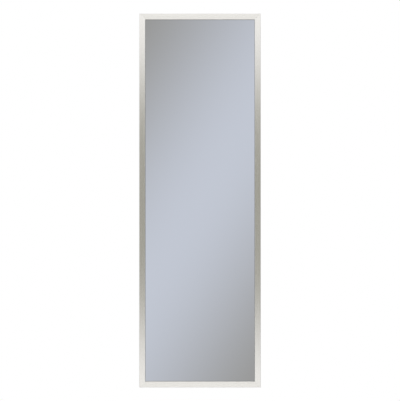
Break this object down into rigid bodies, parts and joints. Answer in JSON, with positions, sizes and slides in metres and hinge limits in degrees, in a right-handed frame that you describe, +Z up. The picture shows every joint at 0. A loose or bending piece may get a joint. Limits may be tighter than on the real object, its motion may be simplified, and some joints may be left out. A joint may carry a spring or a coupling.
{
  "type": "medicine cabinet",
  "caption": "Tall, narrow mirror cabinet: a framed mirror door on a continuous side hinge over a shallow aluminium box with glass shelves that slide on tracks.",
  "frame": {"origin": "centre of the rear face, which lies on the wall, at the middle of the four wall screw holes", "axes": "+X to the right as seen from the room, +Y into the wall, +Z up; the door's mirror faces -Y"},
  "size_m": [0.325, 0.12, 1],
  "materials": {
    "door_frame": "brushed along each bar, warm nickel anodising",
    "box_aluminium": "satin clear anodising",
    "back_sheet": "mill finish sheet",
    "mirror_glass": "silvered float glass, ground edges",
    "core_board": "fibreboard, hidden in the door",
    "gasket": "extruded grey glazing gasket",
    "corner_keys": "pressed, hidden in the corners",
    "hinge_steel": "rolled stainless strip, satin",
    "screw_steel": "zinc plated",
    "catch_plastic": "moulded, white",
    "magnet_plate": "nickel plated magnet",
    "clear_bumpers": "clear soft urethane",
    "shelf_glass": "clear float glass, polished edges",
    "bracket_aluminium": "bent sheet, satin"
  },
  "bodies": {
    "cabinet": {"side_left": "box_aluminium", "side_right": "box_aluminium", "top_panel": "box_aluminium", "bottom_panel": "box_aluminium", "body_corner_keys": "corner_keys", "back_panel": "back_sheet", "back_screws": "screw_steel", "back_mirror": "mirror_glass", "mount_rail_top": "box_aluminium", "mount_rail_bottom": "box_aluminium", "hinge_leaf_body": "hinge_steel", "hinge_body_screws": "screw_steel", "hinge_pin": "hinge_steel", "catch_housings": "catch_plastic", "catch_magnets": "magnet_plate"},
    "door": {"door_stile_left": "door_frame", "door_stile_right": "door_frame", "door_rail_top": "door_frame", "door_rail_bottom": "door_frame", "door_corner_keys": "corner_keys", "door_key_screws": "screw_steel", "glazing_gasket": "gasket", "front_mirror": "mirror_glass", "core_board": "core_board", "inner_mirror": "mirror_glass", "hinge_leaf_door": "hinge_steel", "hinge_door_screws": "screw_steel", "strike_plates": "hinge_steel", "strike_screws": "screw_steel", "door_bumpers": "clear_bumpers"},
    "shelf_1": {"shelf_1_glass": "shelf_glass", "shelf_1_bracket_left": "bracket_aluminium", "shelf_1_bracket_right": "bracket_aluminium", "shelf_1_pads": "clear_bumpers", "shelf_1_track_nuts": "screw_steel", "shelf_1_clamp_screws": "screw_steel"},
    "shelf_2": {"shelf_2_glass": "shelf_glass", "shelf_2_bracket_left": "bracket_aluminium", "shelf_2_bracket_right": "bracket_aluminium", "shelf_2_pads": "clear_bumpers", "shelf_2_track_nuts": "screw_steel", "shelf_2_clamp_screws": "screw_steel"},
    "shelf_3": {"shelf_3_glass": "shelf_glass", "shelf_3_bracket_left": "bracket_aluminium", "shelf_3_bracket_right": "bracket_aluminium", "shelf_3_pads": "clear_bumpers", "shelf_3_track_nuts": "screw_steel", "shelf_3_clamp_screws": "screw_steel"},
    "shelf_4": {"shelf_4_glass": "shelf_glass", "shelf_4_bracket_left": "bracket_aluminium", "shelf_4_bracket_right": "bracket_aluminium", "shelf_4_pads": "clear_bumpers", "shelf_4_track_nuts": "screw_steel", "shelf_4_clamp_screws": "screw_steel"}
  },
  "joints": [
    {"name": "door_swing", "type": "hinge", "parent": "cabinet", "child": "door", "pos_m": [-0.1595, -0.0985, 0], "axis": [0, 0, -1], "range_deg": [0, 110]},
    {"name": "shelf_1_height", "type": "slide", "parent": "cabinet", "child": "shelf_1", "axis": [0, 0, 1], "range_m": [-0.06, 0.06]},
    {"name": "shelf_2_height", "type": "slide", "parent": "cabinet", "child": "shelf_2", "axis": [0, 0, 1], "range_m": [-0.06, 0.06]},
    {"name": "shelf_3_height", "type": "slide", "parent": "cabinet", "child": "shelf_3", "axis": [0, 0, 1], "range_m": [-0.06, 0.06]},
    {"name": "shelf_4_height", "type": "slide", "parent": "cabinet", "child": "shelf_4", "axis": [0, 0, 1], "range_m": [-0.06, 0.06]}
  ]
}
